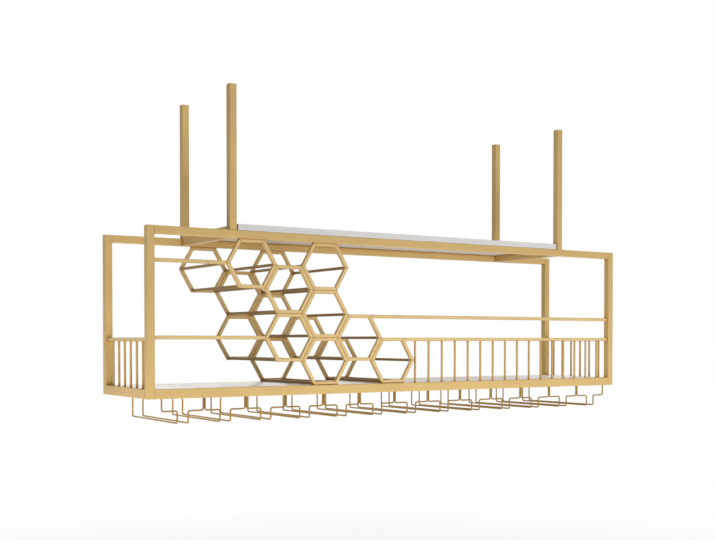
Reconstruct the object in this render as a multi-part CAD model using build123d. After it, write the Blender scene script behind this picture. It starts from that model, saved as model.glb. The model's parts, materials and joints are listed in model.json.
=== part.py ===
from build123d import *
import math
import os

# Hanging wine rack: a welded square-tube frame on four ceiling hangers, a board on
# top, a shelf at the bottom, eight hexagonal bottle cells, low railings, and wire
# channels below that hold stemmed glasses by the foot.
# Millimetres. +Z is up and the front faces -Y. The origin is the middle of the
# ceiling fixing: centred over the rack, level with the tops of the hangers.

# Overall sizes
rack_length = 1490.0
rack_depth = 298.0
frame_height = 400.0
hanger_height = 348.0
hanger_inset = 209.0

# Square tube of the frame
tube_size = 19.0
tube_wall = 1.2
tube_corner = 1.6
bottom_rail_height = 23.0
cap_thickness = 1.5

# Threaded plugs in the tops of the hangers
plug_length = 18.0
plug_clearance = 0.1
plug_hole_radius = 3.4

# Top board, with the stop bars at its ends
board_thickness = 15.0
board_end_gap = 3.0
board_corner = 2.0
board_edge = 1.0

# Bottom shelf, dropped in between the bottom rails
shelf_thickness = 15.0
shelf_gap = 1.0
shelf_edge = 1.0
support_width = 20.0
support_thickness = 3.0
support_count = 3

# Bottle cells: flat-topped hexagons, three cells high between the rails
bar_size = 9.0
bar_edge = 0.8
spacer_size = 7.0
left_bay_width = 183.5
cell_rows = 3
# Column from the left, and height of the cell's middle in half cells
cells = [(0, 5), (1, 4), (1, 2), (2, 5), (2, 3), (2, 1), (3, 2), (4, 1)]

# Railings
baluster_radius = 3.0
front_baluster_count = 16
front_gap_at_cell = 5.5
front_gap_at_post = 41.0
end_baluster_count = 6
end_gap_at_post = 31.0

# Wire channels for glasses
wire_radius = 2.0
wire_bend = 5.0
channel_count = 13
channel_margin = 34.5
channel_slot = 27.6
wire_pair_gap = 0.4
wire_inset = 6.5
shoulder_drop = 29.2
rail_drop = 57.9

# Places worked out from the sizes above
left_x = -rack_length / 2
right_x = rack_length / 2
front_y = -rack_depth / 2
rear_y = rack_depth / 2
frame_top = -hanger_height
frame_bottom = frame_top - frame_height
inner_left = left_x + tube_size
inner_right = right_x - tube_size
inner_front = front_y + tube_size
inner_rear = rear_y - tube_size
shelf_level = frame_bottom + bottom_rail_height
rail_underside = frame_top - tube_size
front_mid_y = front_y + tube_size / 2
rear_mid_y = rear_y - tube_size / 2

# Hexagon geometry: the outer faces of neighbouring rings touch
cell_pitch = (rail_underside - shelf_level) / cell_rows
ring_radius = cell_pitch / math.sqrt(3)
ring_inner_radius = (cell_pitch / 2 - bar_size) / math.cos(math.pi / 6)
column_pitch = 1.5 * ring_radius
first_column_x = inner_left + left_bay_width + ring_radius
railing_top = shelf_level + cell_pitch


def box_between(x_range, y_range, z_range):
    """Plain block between pairs of limits."""
    size = [high - low for low, high in (x_range, y_range, z_range)]
    middle = [(high + low) / 2 for low, high in (x_range, y_range, z_range)]
    return Pos(*middle) * Box(*size)


def section_plane(start, direction):
    """Plane at a bar's start, square to the way the bar runs."""
    if direction == "X":
        return Plane(origin=start, x_dir=(0, 1, 0), z_dir=(1, 0, 0))
    if direction == "Y":
        return Plane(origin=start, x_dir=(-1, 0, 0), z_dir=(0, 1, 0))
    return Plane(origin=start, x_dir=(1, 0, 0), z_dir=(0, 0, 1))


def square_tube(start, direction, length, width=tube_size, height=tube_size):
    """Hollow tube with rounded corners, its axis through start."""
    inner_width = width - 2 * tube_wall
    inner_height = height - 2 * tube_wall
    inner_corner = max(tube_corner - tube_wall, 0.2)
    outline = RectangleRounded(width, height, tube_corner)
    hollow = RectangleRounded(inner_width, inner_height, inner_corner)
    return extrude(section_plane(start, direction) * (outline - hollow), amount=length)


def solid_bar(start, direction, length, size, edge):
    """Square solid bar with eased edges, its axis through start."""
    outline = RectangleRounded(size, size, edge)
    return extrude(section_plane(start, direction) * outline, amount=length)


def flat_profile(points, y_low, y_high):
    """Block with the given outline in X and Z, from y_low back to y_high."""
    outline = Plane.XZ.offset(-y_low) * make_face(Polyline(*points, close=True))
    return extrude(outline, amount=-(y_high - y_low))


def eased_bar(points, y_low):
    """Bar of the cell stock with shaped ends, its four long edges eased."""
    blank = flat_profile(points, y_low, y_low + bar_size)
    long_edges = blank.edges().sort_by(SortBy.LENGTH)[-4:]
    return fillet(long_edges, bar_edge)


def hexagon_corner(centre_x, centre_z, radius, number):
    """Corner of a flat-topped hexagon, numbered from its right-hand corner."""
    angle = math.radians(60 * number)
    return (centre_x + radius * math.cos(angle), centre_z + radius * math.sin(angle))


def save(shape, name):
    export_step(shape, f"parts/{name}.step")


def make_posts():
    post_length = frame_height - 2 * cap_thickness
    caps = []
    for side, x in (("left", left_x + tube_size / 2), ("right", right_x - tube_size / 2)):
        for face, y in (("front", front_mid_y), ("rear", rear_mid_y)):
            foot = (x, y, frame_bottom + cap_thickness)
            save(square_tube(foot, "Z", post_length), f"post_{face}_{side}")
            for z in (frame_bottom, frame_top - cap_thickness):
                plate = RectangleRounded(tube_size, tube_size, tube_corner)
                caps.append(extrude(Pos(x, y, z) * plate, amount=cap_thickness))
    save(Compound(caps), "post_end_caps")


def make_rails():
    clear_length = inner_right - inner_left
    clear_depth = inner_rear - inner_front
    top_z = frame_top - tube_size / 2
    bottom_z = frame_bottom + bottom_rail_height / 2
    for face, y in (("front", front_mid_y), ("rear", rear_mid_y)):
        top = square_tube((inner_left, y, top_z), "X", clear_length)
        save(top, f"top_rail_{face}")
        bottom = square_tube(
            (inner_left, y, bottom_z), "X", clear_length, tube_size, bottom_rail_height
        )
        save(bottom, f"bottom_rail_{face}")
    for side, x in (("left", left_x + tube_size / 2), ("right", right_x - tube_size / 2)):
        end_rail = square_tube(
            (x, inner_front, bottom_z), "Y", clear_depth, tube_size, bottom_rail_height
        )
        save(end_rail, f"bottom_rail_{side}")


def hanger_middles():
    """Middle of the left and right hangers along the rack."""
    left = left_x + hanger_inset + tube_size / 2
    return (("left", left), ("right", -left))


def make_hangers():
    plug_width = tube_size - 2 * tube_wall - 2 * plug_clearance
    plug_outline = RectangleRounded(plug_width, plug_width, tube_corner)
    plugs = []
    for side, x in hanger_middles():
        for face, y in (("front", front_mid_y), ("rear", rear_mid_y)):
            hanger = square_tube((x, y, frame_top), "Z", hanger_height)
            save(hanger, f"hanger_{face}_{side}")
            section = plug_outline - Circle(plug_hole_radius)
            plugs.append(extrude(Pos(x, y, -plug_length) * section, amount=plug_length))
    save(Compound(plugs), "hanger_plugs")


def make_cross_rails():
    """Tubes across the frame at the hangers, and the stop bars for the board."""
    depth = inner_rear - inner_front
    for side, x in hanger_middles():
        rail_start = (x, inner_front, frame_top - tube_size / 2)
        save(square_tube(rail_start, "Y", depth), f"cross_rail_{side}")
        outward = math.copysign(tube_size / 2 - bar_size / 2, x)
        stop_start = (x + outward, inner_front, frame_top + bar_size / 2)
        save(solid_bar(stop_start, "Y", depth, bar_size, bar_edge), f"board_stop_{side}")


def make_top_board():
    reach = -hanger_middles()[0][1] - tube_size / 2 - board_end_gap
    board = box_between(
        (-reach, reach), (front_y, rear_y), (frame_top, frame_top + board_thickness)
    )
    board = fillet(board.edges().filter_by(Axis.Z), board_corner)
    faces = board.faces().sort_by(Axis.Z)
    rims = faces[0].edges() + faces[-1].edges()
    save(fillet(rims, board_edge), "top_board")


def make_bottom_shelf():
    shelf_underside = shelf_level - shelf_thickness
    shelf = box_between(
        (inner_left + shelf_gap, inner_right - shelf_gap),
        (inner_front + shelf_gap, inner_rear - shelf_gap),
        (shelf_underside, shelf_level),
    )
    save(fillet(shelf.edges(), shelf_edge), "bottom_shelf")
    support_pitch = (inner_right - inner_left) / support_count
    supports = []
    for number in range(support_count):
        x = inner_left + support_pitch * (number + 0.5)
        supports.append(
            box_between(
                (x - support_width / 2, x + support_width / 2),
                (inner_front, inner_rear),
                (shelf_underside - support_thickness, shelf_underside),
            )
        )
    save(Compound(supports), "shelf_supports")


def hexagon_ring(centre_x, centre_z, y_low):
    """Six mitred bars round one cell."""
    bars = []
    for number in range(6):
        points = [
            hexagon_corner(centre_x, centre_z, ring_radius, number),
            hexagon_corner(centre_x, centre_z, ring_radius, number + 1),
            hexagon_corner(centre_x, centre_z, ring_inner_radius, number + 1),
            hexagon_corner(centre_x, centre_z, ring_inner_radius, number),
        ]
        bars.append(eased_bar(points, y_low))
    return Compound(bars)


def cell_middle(column, half_rows):
    x = first_column_x + column * column_pitch
    z = shelf_level + half_rows * cell_pitch / 2
    return x, z


def spacer_corners(column, half_rows):
    """Corners with a spacer: the two lower ones, and the side ones with no cell above them."""
    corners = [4, 5]
    if (column + 1, half_rows + 1) not in cells:
        corners.append(0)
    if (column - 1, half_rows + 1) not in cells:
        corners.append(3)
    return corners


def make_cells():
    front_ring_y = front_mid_y - bar_size / 2
    rear_ring_y = rear_mid_y - bar_size / 2
    spacer_start = front_ring_y + bar_size
    spacer_length = rear_ring_y - spacer_start
    spacer_radius = (ring_radius + ring_inner_radius) / 2
    for number, (column, half_rows) in enumerate(cells, start=1):
        x, z = cell_middle(column, half_rows)
        save(hexagon_ring(x, z, front_ring_y), f"cell_{number}_front_ring")
        save(hexagon_ring(x, z, rear_ring_y), f"cell_{number}_rear_ring")
        spacers = []
        for corner in spacer_corners(column, half_rows):
            corner_x, corner_z = hexagon_corner(x, z, spacer_radius, corner)
            start = (corner_x, spacer_start, corner_z)
            spacers.append(solid_bar(start, "Y", spacer_length, spacer_size, bar_edge))
        save(Compound(spacers), f"cell_{number}_spacers")


def make_side_bars():
    """Front bars from the cells to the corner posts."""
    bar_y = front_mid_y - bar_size / 2
    half = bar_size / 2
    slant = math.tan(math.pi / 6)
    for name, (column, half_rows) in (("upper", cells[0]), ("middle", cells[2])):
        x, z = cell_middle(column, half_rows)
        corner_x = x - ring_radius
        notched = [
            (inner_left, z - half),
            (corner_x + half * slant, z - half),
            (corner_x, z),
            (corner_x + half * slant, z + half),
            (inner_left, z + half),
        ]
        blank = flat_profile(notched, bar_y, bar_y + bar_size)
        long_edges = blank.edges().filter_by(Axis.X)
        save(fillet(long_edges, bar_edge), f"bar_{name}_left")
    for name, (column, half_rows) in (("bar_upper_right", cells[6]), ("railing_front_bar", cells[7])):
        x, z = cell_middle(column, half_rows)
        corner_x = x + ring_radius / 2
        top = z + cell_pitch / 2
        slanted = [
            (corner_x, top),
            (corner_x + bar_size * slant, top - bar_size),
            (inner_right, top - bar_size),
            (inner_right, top),
        ]
        save(eased_bar(slanted, bar_y), name)


def baluster(x, y):
    """Round rod from the bottom rail up to the underside of the railing's bar."""
    length = railing_top - bar_size - shelf_level
    return extrude(Pos(x, y, shelf_level) * Circle(baluster_radius), amount=length)


def spaced(first, last, count):
    """Evenly spaced places, both ends included."""
    return [first + (last - first) * number / (count - 1) for number in range(count)]


def make_railings():
    last_cell_x, _ = cell_middle(*cells[7])
    first_x = last_cell_x + ring_radius + front_gap_at_cell
    last_x = inner_right - front_gap_at_post
    places = spaced(first_x, last_x, front_baluster_count)
    save(Compound([baluster(x, front_mid_y) for x in places]), "railing_front_balusters")
    first_y = inner_front + end_gap_at_post
    for side, x in (("left", left_x + tube_size / 2), ("right", right_x - tube_size / 2)):
        start = (x, inner_front, railing_top - bar_size / 2)
        top = solid_bar(start, "Y", inner_rear - inner_front, bar_size, bar_edge)
        save(top, f"railing_{side}_bar")
        places = spaced(first_y, inner_rear - end_gap_at_post, end_baluster_count)
        save(Compound([baluster(x, y) for y in places]), f"railing_{side}_balusters")


def glass_wire(hang_x, slot_x):
    """One bent wire: front drop, shoulder, second drop, long rail and rear upright."""
    near_y = front_y + wire_inset
    far_y = rear_y - wire_inset
    shoulder_z = frame_bottom - shoulder_drop
    rail_z = frame_bottom - rail_drop
    route = FilletPolyline(
        (hang_x, near_y, frame_bottom),
        (hang_x, near_y, shoulder_z),
        (slot_x, near_y, shoulder_z),
        (slot_x, near_y, rail_z),
        (slot_x, far_y, rail_z),
        (slot_x, far_y, frame_bottom),
        radius=wire_bend,
    )
    section = Plane(origin=route @ 0, z_dir=route % 0) * Circle(wire_radius)
    return sweep(section, path=route)


def make_glass_wires():
    channel_pitch = (rack_length - 2 * channel_margin) / channel_count
    half_pair = wire_radius + wire_pair_gap / 2
    left_hand = []
    right_hand = []
    for number in range(channel_count):
        left_edge = left_x + channel_margin + number * channel_pitch
        middle = left_edge + channel_pitch / 2
        right_edge = left_edge + channel_pitch
        left_hand.append(glass_wire(left_edge + half_pair, middle - channel_slot / 2))
        right_hand.append(glass_wire(right_edge - half_pair, middle + channel_slot / 2))
    save(Compound(left_hand), "glass_wires_left_hand")
    save(Compound(right_hand), "glass_wires_right_hand")


os.makedirs("parts", exist_ok=True)
make_posts()
make_rails()
make_hangers()
make_cross_rails()
make_top_board()
make_bottom_shelf()
make_cells()
make_side_bars()
make_railings()
make_glass_wires()
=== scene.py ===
import json
import math

import bpy
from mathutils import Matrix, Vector


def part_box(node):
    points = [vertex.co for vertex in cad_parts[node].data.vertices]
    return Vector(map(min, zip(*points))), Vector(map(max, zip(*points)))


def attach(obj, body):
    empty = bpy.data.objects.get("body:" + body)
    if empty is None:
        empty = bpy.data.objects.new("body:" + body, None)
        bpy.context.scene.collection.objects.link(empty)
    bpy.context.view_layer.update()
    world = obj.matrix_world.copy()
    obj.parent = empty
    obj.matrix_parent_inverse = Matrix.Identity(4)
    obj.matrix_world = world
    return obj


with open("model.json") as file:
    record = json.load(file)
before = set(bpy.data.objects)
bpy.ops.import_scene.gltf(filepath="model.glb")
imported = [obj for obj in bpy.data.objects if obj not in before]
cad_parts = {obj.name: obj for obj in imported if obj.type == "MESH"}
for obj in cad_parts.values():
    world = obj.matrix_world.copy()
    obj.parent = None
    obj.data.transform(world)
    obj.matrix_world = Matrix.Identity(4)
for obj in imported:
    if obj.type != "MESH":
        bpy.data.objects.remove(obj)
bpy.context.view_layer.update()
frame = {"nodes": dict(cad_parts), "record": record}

# Everything is in metres, in the rack's own frame: the origin is the middle of the
# ceiling fixing, +Z is up and the front faces -Y.

# Camera
CAMERA_PLACE = (-1.66469, -2.47397, -0.61023)
CAMERA_LENS = 54.0
CAMERA_SENSOR = 36.0
CAMERA_YAW = 0.5704
CAMERA_PITCH = -0.01953
CAMERA_SHIFT_Y = 0.1263

# Studio
FLOOR_LEVEL = -1.95
FLOOR_SIZE = 60.0
FLOOR_COLOUR = (0.50, 0.50, 0.50, 1.0)
# The floor's own glow, near the rack where the lamps reach and far from it
GLOW_NEAR = 0.66
GLOW_FAR = 0.93
GLOW_RANGE = (1.5, 6.0)
# The world is white where it is seen, and weaker as a light
WORLD_COLOUR = (1.0, 1.0, 1.0, 1.0)
WORLD_SEEN = 1.0
WORLD_LIGHT = 0.16
# name, place, target, width and height, power
LAMPS = (
    ("front_low", (0.50, -1.55, -1.32), (0.50, 0.0, -0.65), (3.1, 0.6), 23.0),
    ("left_low", (-1.35, -0.25, -1.35), (-0.745, 0.0, -0.76), (0.4, 0.6), 7.5),
    ("front_high", (0.2, -3.0, 1.0), (0.2, 0.0, -0.5), (2.4, 1.4), 14.0),
    ("rear_high", (0.4, 2.6, 0.3), (0.2, 0.0, -0.6), (2.6, 1.2), 16.0),
    ("overhead", (0.55, 0.0, 2.2), (0.25, 0.0, 0.0), (1.4, 1.0), 22.0),
    ("right_mid", (2.1, 0.3, -0.1), (0.745, 0.0, -0.5), (0.6, 0.9), 9.0),
)

# Paint and board colours; the darker and paler copies of one paint or board below are painted shade and
# painted highlight
GOLD = (0.78, 0.54, 0.22, 1.0)
# A paler copy of the gold paint for the bars: painted highlight on their lit fronts
GOLD_BARS_PAINTED_HIGHLIGHT = (0.87, 0.64, 0.30, 1.0)
# Darker copies of the gold paint for the spacers, wires and rods: painted shade
GOLD_SPACERS_PAINTED_SHADE = (0.42, 0.27, 0.10, 1.0)
GOLD_WIRE_PAINTED_SHADE = (0.42, 0.26, 0.07, 1.0)
GOLD_RODS_PAINTED_SHADE = (0.68, 0.46, 0.18, 1.0)
BOARD = (0.92, 0.91, 0.885, 1.0)
# A darker copy of the board colour for the shelf: painted shade from the top board
SHELF_PAINTED_SHADE = (0.90, 0.865, 0.79, 1.0)
ZINC = (0.55, 0.56, 0.58, 1.0)

# Gloss
GOLD_METALLIC = 0.08
GOLD_SPECULAR = 0.2
GOLD_SHEEN = (1.0, 0.72, 0.36, 1.0)
BOARD_SPECULAR = 0.12
ZINC_METALLIC = 0.9

# Noise patterns: scale, detail, lowest and highest value
GOLD_DRIFT = (7.0, 3.0, 0.955, 1.045)
GOLD_FLAKE = (1500.0, 1.0, 0.93, 1.07)
GOLD_ROUGHNESS = (60.0, 4.0, 0.36, 0.48)
BOARD_GRAIN = (9.0, 5.0, 0.955, 1.03)
BOARD_SPECKLE = (900.0, 1.0, 0.985, 1.015)
BOARD_ROUGHNESS = (30.0, 3.0, 0.24, 0.36)
ZINC_ROUGHNESS = (300.0, 3.0, 0.28, 0.42)
# The values between which most of the noise lies
NOISE_SPAN = (0.3, 0.7)
# How much finer the grain is along, across and through the board
GRAIN_STRETCH = (1.2, 22.0, 22.0)
CRYSTAL_SCALE = 450.0
CRYSTAL_TONE = (0.88, 1.08)

# Fine relief: noise scale, detail and strength, and the height of all relief
GOLD_PEEL = (420.0, 2.0, 0.18)
BOARD_PORES = (60.0, 3.0, 0.12)
RELIEF_HEIGHT = 0.0002

# Edges: how wide they show, and their tint against the flat faces; the lighter frame and board edges are
# a painted highlight, the dark orange bar edges painted shade
FRAME_EDGE_PAINTED_HIGHLIGHT = (0.0012, (1.12, 1.12, 1.12, 1.0))
BAR_EDGE_PAINTED_SHADE = (0.0032, (0.54, 0.38, 0.16, 1.0))
BOARD_EDGE_PAINTED_HIGHLIGHT = (0.0012, (1.08, 1.08, 1.08, 1.0))
# Cosine between the rounded and the flat normal, from a full edge to a flat face
EDGE_SPAN = (0.86, 0.998)
EDGE_SAMPLES = 4

# Painted shade in the corners where pieces meet, warmer on the gold as a painted
# reflection of gold in gold: its tint, how far it reaches, and the open share of
# the surroundings from a full corner to an open face
GOLD_CORNER_PAINTED_SHADE = (0.66, 0.40, 0.16, 1.0)
BOARD_CORNER_PAINTED_SHADE = (0.40, 0.40, 0.40, 1.0)
CORNER_REACH = 0.009
CORNER_SPAN = (0.45, 0.9)
CORNER_SAMPLES = 6

# Colour sockets of the Mix node
MIX_A = 6
MIX_B = 7
MIX_RESULT = 2

# Weld collars where the round rods meet the bars
COLLAR_REACH = 0.0016
COLLAR_HEIGHT = 0.0019
COLLAR_SIDES = 20
# Height and reach along the collar's hollow flank, as shares of the full size
COLLAR_FLANK = ((0.0, 1.0), (0.10, 0.72), (0.32, 0.40), (0.62, 0.17), (1.0, 0.03))
# Reach of the collar's hidden inside, within the rod
COLLAR_CORE = -0.25
# Unevenness: its size, how many lumps go round, and the turn from one collar to the next
COLLAR_LUMPS = 0.10
COLLAR_LOBES = 5
COLLAR_TURN = 2.4
# Points at a rod's end lie this near the given height, and this near each other
END_LEVEL_GAP = 0.00005
END_POINT_GAP = 0.012


def add_node(tree, kind, inputs=None, **settings):
    """Adds a shader node, sets its properties, and sets or links its inputs."""
    node = tree.nodes.new(kind)
    for key, value in settings.items():
        setattr(node, key, value)
    for key, value in (inputs or {}).items():
        if isinstance(value, bpy.types.NodeSocket):
            tree.links.new(value, node.inputs[key])
        else:
            node.inputs[key].default_value = value
    return node


def new_material(name):
    """Empty node material with its output, a principled shader and object coordinates."""
    material = bpy.data.materials.new(name)
    material.use_nodes = True
    tree = material.node_tree
    tree.nodes.clear()
    output = tree.nodes.new("ShaderNodeOutputMaterial")
    shader = tree.nodes.new("ShaderNodeBsdfPrincipled")
    tree.links.new(shader.outputs["BSDF"], output.inputs["Surface"])
    place = add_node(tree, "ShaderNodeTexCoord").outputs["Object"]
    return material, tree, shader, place


def math_node(tree, operation, first, second):
    node = add_node(tree, "ShaderNodeMath", {0: first, 1: second}, operation=operation)
    return node.outputs["Value"]


def noise(tree, place, scale, detail):
    node = add_node(tree, "ShaderNodeTexNoise", {"Vector": place, "Scale": scale, "Detail": detail})
    return node.outputs["Fac"]


def ranged(tree, value, low, high, source_low=0.0, source_high=1.0):
    """Maps a value from one range to another."""
    node = add_node(
        tree,
        "ShaderNodeMapRange",
        {"Value": value, "From Min": source_low, "From Max": source_high, "To Min": low, "To Max": high},
    )
    return node.outputs["Result"]


def pattern(tree, place, scale, detail, low, high):
    """Noise that drifts between two values."""
    return ranged(tree, noise(tree, place, scale, detail), low, high, *NOISE_SPAN)


def tinted(tree, colour, tint, mask=1.0):
    """The colour multiplied by a tint or a grey pattern, as far as the mask says."""
    inputs = {"Factor": mask, MIX_A: colour, MIX_B: tint}
    node = add_node(tree, "ShaderNodeMix", inputs, data_type="RGBA", blend_type="MULTIPLY")
    return node.outputs[MIX_RESULT]


def edge_painted_light(tree, colour, width, tint):
    """The colour, taking a tint along edges: a painted highlight where the tint is lighter, painted
    shade where it is darker.
    """
    rounded = add_node(tree, "ShaderNodeBevel", {"Radius": width}, samples=EDGE_SAMPLES)
    flat = add_node(tree, "ShaderNodeNewGeometry")
    facing = add_node(
        tree,
        "ShaderNodeVectorMath",
        {0: rounded.outputs["Normal"], 1: flat.outputs["Normal"]},
        operation="DOT_PRODUCT",
    )
    return tinted(tree, colour, tint, ranged(tree, facing.outputs["Value"], 1.0, 0.0, *EDGE_SPAN))


def corner_painted_shade(tree, colour, tint):
    """The colour, taking a tint in the corners where pieces meet: painted shade."""
    open_share = add_node(
        tree, "ShaderNodeAmbientOcclusion", {"Distance": CORNER_REACH}, samples=CORNER_SAMPLES
    )
    return tinted(tree, colour, tint, ranged(tree, open_share.outputs["AO"], 1.0, 0.0, *CORNER_SPAN))


def add_relief(tree, shader, place, scale, detail, strength):
    bump = add_node(
        tree,
        "ShaderNodeBump",
        {"Height": noise(tree, place, scale, detail), "Strength": strength, "Distance": RELIEF_HEIGHT},
    )
    tree.links.new(bump.outputs["Normal"], shader.inputs["Normal"])


def gold_material(name, colour, edge=FRAME_EDGE_PAINTED_HIGHLIGHT):
    """Satin gold paint: tone drift, metal flake, orange-peel skin, edges toned with painted light and
    shade, and painted shade in the corners.
    """
    material, tree, shader, place = new_material(name)
    drift = pattern(tree, place, *GOLD_DRIFT)
    flake = pattern(tree, place, *GOLD_FLAKE)
    # Painted light and shade along the edges, then painted shade in the corners
    paint = edge_painted_light(tree, colour, *edge)
    paint = corner_painted_shade(tree, paint, GOLD_CORNER_PAINTED_SHADE)
    paint = tinted(tree, paint, math_node(tree, "MULTIPLY", drift, flake))
    tree.links.new(paint, shader.inputs["Base Color"])
    tree.links.new(pattern(tree, place, *GOLD_ROUGHNESS), shader.inputs["Roughness"])
    add_relief(tree, shader, place, *GOLD_PEEL)
    shader.inputs["Metallic"].default_value = GOLD_METALLIC
    shader.inputs["Specular IOR Level"].default_value = GOLD_SPECULAR
    shader.inputs["Specular Tint"].default_value = GOLD_SHEEN
    return material


def board_material(name, colour):
    """Pale satin laminate: faint grain along the board, speckle, a painted highlight on the edges and
    painted shade in the corners.
    """
    material, tree, shader, place = new_material(name)
    stretched = add_node(tree, "ShaderNodeMapping", {"Vector": place, "Scale": GRAIN_STRETCH})
    along = stretched.outputs["Vector"]
    grain = pattern(tree, along, *BOARD_GRAIN)
    speckle = pattern(tree, place, *BOARD_SPECKLE)
    # A painted highlight along the edges, then painted shade in the corners
    laminate = edge_painted_light(tree, colour, *BOARD_EDGE_PAINTED_HIGHLIGHT)
    laminate = corner_painted_shade(tree, laminate, BOARD_CORNER_PAINTED_SHADE)
    laminate = tinted(tree, laminate, math_node(tree, "MULTIPLY", grain, speckle))
    tree.links.new(laminate, shader.inputs["Base Color"])
    tree.links.new(pattern(tree, along, *BOARD_ROUGHNESS), shader.inputs["Roughness"])
    add_relief(tree, shader, along, *BOARD_PORES)
    shader.inputs["Specular IOR Level"].default_value = BOARD_SPECULAR
    return material


def zinc_material(name, colour):
    """Zinc plate: a fine crystal pattern over bright metal."""
    material, tree, shader, place = new_material(name)
    crystals = add_node(tree, "ShaderNodeTexVoronoi", {"Vector": place, "Scale": CRYSTAL_SCALE})
    shade = ranged(tree, crystals.outputs["Distance"], *CRYSTAL_TONE)
    tree.links.new(tinted(tree, colour, shade), shader.inputs["Base Color"])
    tree.links.new(pattern(tree, place, *ZINC_ROUGHNESS), shader.inputs["Roughness"])
    shader.inputs["Metallic"].default_value = ZINC_METALLIC
    return material


def finish_materials():
    """Gives each node its material, by its slot or by the last word of its name."""
    by_slot = {
        "gold_paint": gold_material("gold_paint", GOLD),
        # The bars take the paler gold and dark orange edges: painted highlight on their fronts, painted
        # shade on their sides
        "gold_bars": gold_material("gold_bars", GOLD_BARS_PAINTED_HIGHLIGHT, BAR_EDGE_PAINTED_SHADE),
        # The wire takes a darker copy of the gold paint: painted shade
        "gold_wire": gold_material("gold_wire", GOLD_WIRE_PAINTED_SHADE),
        "pale_board": board_material("pale_board", BOARD),
        "zinc_steel": zinc_material("zinc_steel", ZINC),
    }
    by_last_word = {
        # Spacers and rods take darker copies of the gold paint: painted shade
        "spacers": gold_material("gold_spacers_painted_shade", GOLD_SPACERS_PAINTED_SHADE),
        "balusters": gold_material("gold_rods_painted_shade", GOLD_RODS_PAINTED_SHADE),
        # The shelf takes a darker copy of the board colour: painted shade
        "shelf": board_material("pale_shelf_painted_shade", SHELF_PAINTED_SHADE),
    }
    slots = {entry["node"]: entry["material_slot"] for entry in frame["record"]["subparts"]}
    for name, piece in frame["nodes"].items():
        last_word = name.split("_")[-1]
        piece.data.materials.clear()
        piece.data.materials.append(by_last_word.get(last_word, by_slot[slots[name]]))
    return by_slot


def rod_ends(node, level):
    """Middle and radius of each round rod end of a node that lies at the given height."""
    piece = frame["nodes"][node]
    groups = []
    for vertex in piece.data.vertices:
        place = piece.matrix_world @ vertex.co
        if abs(place.z - level) > END_LEVEL_GAP:
            continue
        near = [group for group in groups if (group[0] - place).length < END_POINT_GAP]
        if near:
            near[0].append(place)
        else:
            groups.append([place])
    ends = []
    for group in groups:
        low_x = min(place.x for place in group)
        high_x = max(place.x for place in group)
        low_y = min(place.y for place in group)
        high_y = max(place.y for place in group)
        middle = Vector(((low_x + high_x) / 2, (low_y + high_y) / 2, level))
        ends.append((middle, (high_x - low_x) / 2))
    return ends


def collar_points(middle, radius, way, number):
    """Rings of points up a collar's flank and down its inside."""
    foot_height, _ = COLLAR_FLANK[0]
    top_height, _ = COLLAR_FLANK[-1]
    rings = COLLAR_FLANK + ((top_height, COLLAR_CORE), (foot_height, COLLAR_CORE))
    points = []
    for height, reach in rings:
        for side in range(COLLAR_SIDES):
            angle = 2 * math.pi * side / COLLAR_SIDES
            lump = 1.0 + COLLAR_LUMPS * math.sin(COLLAR_LOBES * angle + COLLAR_TURN * number)
            out = radius + COLLAR_REACH * reach * lump
            rise = way * COLLAR_HEIGHT * height * lump
            points.append(middle + Vector((out * math.cos(angle), out * math.sin(angle), rise)))
    return points


def ring_faces(first, last, way):
    """Four-sided faces that join each ring of points to the next, and the last to the first."""
    rings = (last - first) // COLLAR_SIDES
    faces = []
    for ring in range(rings):
        row = first + ring * COLLAR_SIDES
        next_row = first + (ring + 1) % rings * COLLAR_SIDES
        for side in range(COLLAR_SIDES):
            after = (side + 1) % COLLAR_SIDES
            corners = [row + side, row + after, next_row + after, next_row + side]
            faces.append(corners if way > 0 else corners[::-1])
    return faces


def weld_collars(name, ends, way, material):
    """Small hollow-flanked collars round rod ends, growing up or down from the bar."""
    points = []
    faces = []
    for number, (middle, radius) in enumerate(ends):
        first = len(points)
        points += collar_points(middle, radius, way, number)
        faces += ring_faces(first, len(points), way)
    mesh = bpy.data.meshes.new(name)
    mesh.from_pydata(points, [], faces)
    mesh.polygons.foreach_set("use_smooth", [True] * len(faces))
    mesh.materials.append(material)
    piece = bpy.data.objects.new(name, mesh)
    bpy.context.scene.collection.objects.link(piece)
    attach(piece, "root")


def add_welds(materials):
    for node in ("railing_front_balusters", "railing_left_balusters", "railing_right_balusters"):
        low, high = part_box(node)
        foot_name = node.replace("balusters", "foot_welds")
        weld_collars(foot_name, rod_ends(node, low[2]), 1, materials["gold_bars"])
        head_name = node.replace("balusters", "head_welds")
        weld_collars(head_name, rod_ends(node, high[2]), -1, materials["gold_bars"])
    for node in ("glass_wires_left_hand", "glass_wires_right_hand"):
        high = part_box(node)[1]
        weld_collars(node + "_welds", rod_ends(node, high[2]), -1, materials["gold_wire"])


def add_camera():
    data = bpy.data.cameras.new("camera")
    data.sensor_width = CAMERA_SENSOR
    data.lens = CAMERA_LENS
    data.shift_y = CAMERA_SHIFT_Y
    camera = bpy.data.objects.new("camera", data)
    camera.location = CAMERA_PLACE
    camera.rotation_euler = (math.pi / 2 + CAMERA_PITCH, 0.0, -CAMERA_YAW)
    bpy.context.scene.collection.objects.link(camera)
    bpy.context.scene.camera = camera


def area_lamp(name, place, target, size, power):
    data = bpy.data.lights.new(name, "AREA")
    data.shape = "RECTANGLE"
    data.size, data.size_y = size
    data.energy = power
    lamp = bpy.data.objects.new(name, data)
    lamp.location = place
    way = Vector(target) - Vector(place)
    lamp.rotation_euler = way.to_track_quat("-Z", "Y").to_euler()
    bpy.context.scene.collection.objects.link(lamp)


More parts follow.
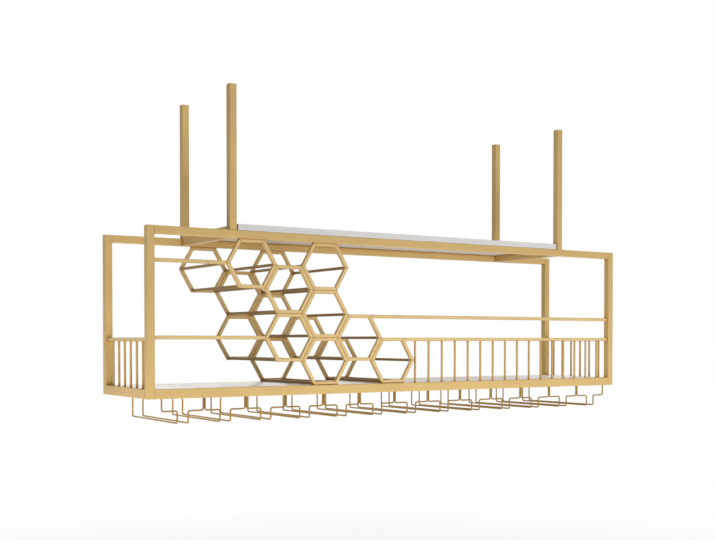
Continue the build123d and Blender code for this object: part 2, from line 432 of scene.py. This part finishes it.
def seen_directly(tree):
    """1 for what the camera, a reflection or a clear material sees, and 0 for light."""
    path = add_node(tree, "ShaderNodeLightPath")
    seen = math_node(tree, "MAXIMUM", path.outputs["Is Camera Ray"], path.outputs["Is Glossy Ray"])
    return math_node(tree, "MAXIMUM", seen, path.outputs["Is Transmission Ray"])


def add_floor():
    """Plain floor with its shadow, which glows a little where it is seen."""
    mesh = bpy.data.meshes.new("floor")
    half = FLOOR_SIZE / 2
    corners = [(-half, -half, 0), (half, -half, 0), (half, half, 0), (-half, half, 0)]
    mesh.from_pydata(corners, [], [(0, 1, 2, 3)])
    floor = bpy.data.objects.new("floor", mesh)
    floor.location = (0.0, 0.0, FLOOR_LEVEL)
    bpy.context.scene.collection.objects.link(floor)
    material = bpy.data.materials.new("floor")
    material.use_nodes = True
    tree = material.node_tree
    tree.nodes.clear()
    matt = add_node(tree, "ShaderNodeBsdfDiffuse", {"Color": FLOOR_COLOUR})
    place = add_node(tree, "ShaderNodeTexCoord").outputs["Object"]
    reach = add_node(tree, "ShaderNodeVectorMath", {0: place}, operation="LENGTH").outputs["Value"]
    level = ranged(tree, reach, GLOW_NEAR, GLOW_FAR, *GLOW_RANGE)
    glow_strength = math_node(tree, "MULTIPLY", seen_directly(tree), level)
    glow = add_node(tree, "ShaderNodeEmission", {"Strength": glow_strength})
    both = add_node(tree, "ShaderNodeAddShader", {0: matt.outputs["BSDF"], 1: glow.outputs["Emission"]})
    output = add_node(tree, "ShaderNodeOutputMaterial")
    tree.links.new(both.outputs["Shader"], output.inputs["Surface"])
    mesh.materials.append(material)


def add_world():
    world = bpy.data.worlds.new("world")
    bpy.context.scene.world = world
    world.use_nodes = True
    tree = world.node_tree
    tree.nodes.clear()
    strength = ranged(tree, seen_directly(tree), WORLD_LIGHT, WORLD_SEEN)
    sky = add_node(tree, "ShaderNodeBackground", {"Color": WORLD_COLOUR, "Strength": strength})
    output = add_node(tree, "ShaderNodeOutputWorld")
    tree.links.new(sky.outputs["Background"], output.inputs["Surface"])


def add_studio():
    add_floor()
    add_world()
    for name, place, target, size, power in LAMPS:
        area_lamp(name, place, target, size, power)


add_welds(finish_materials())
add_camera()
add_studio()
bpy.context.scene.view_settings.view_transform = "Standard"
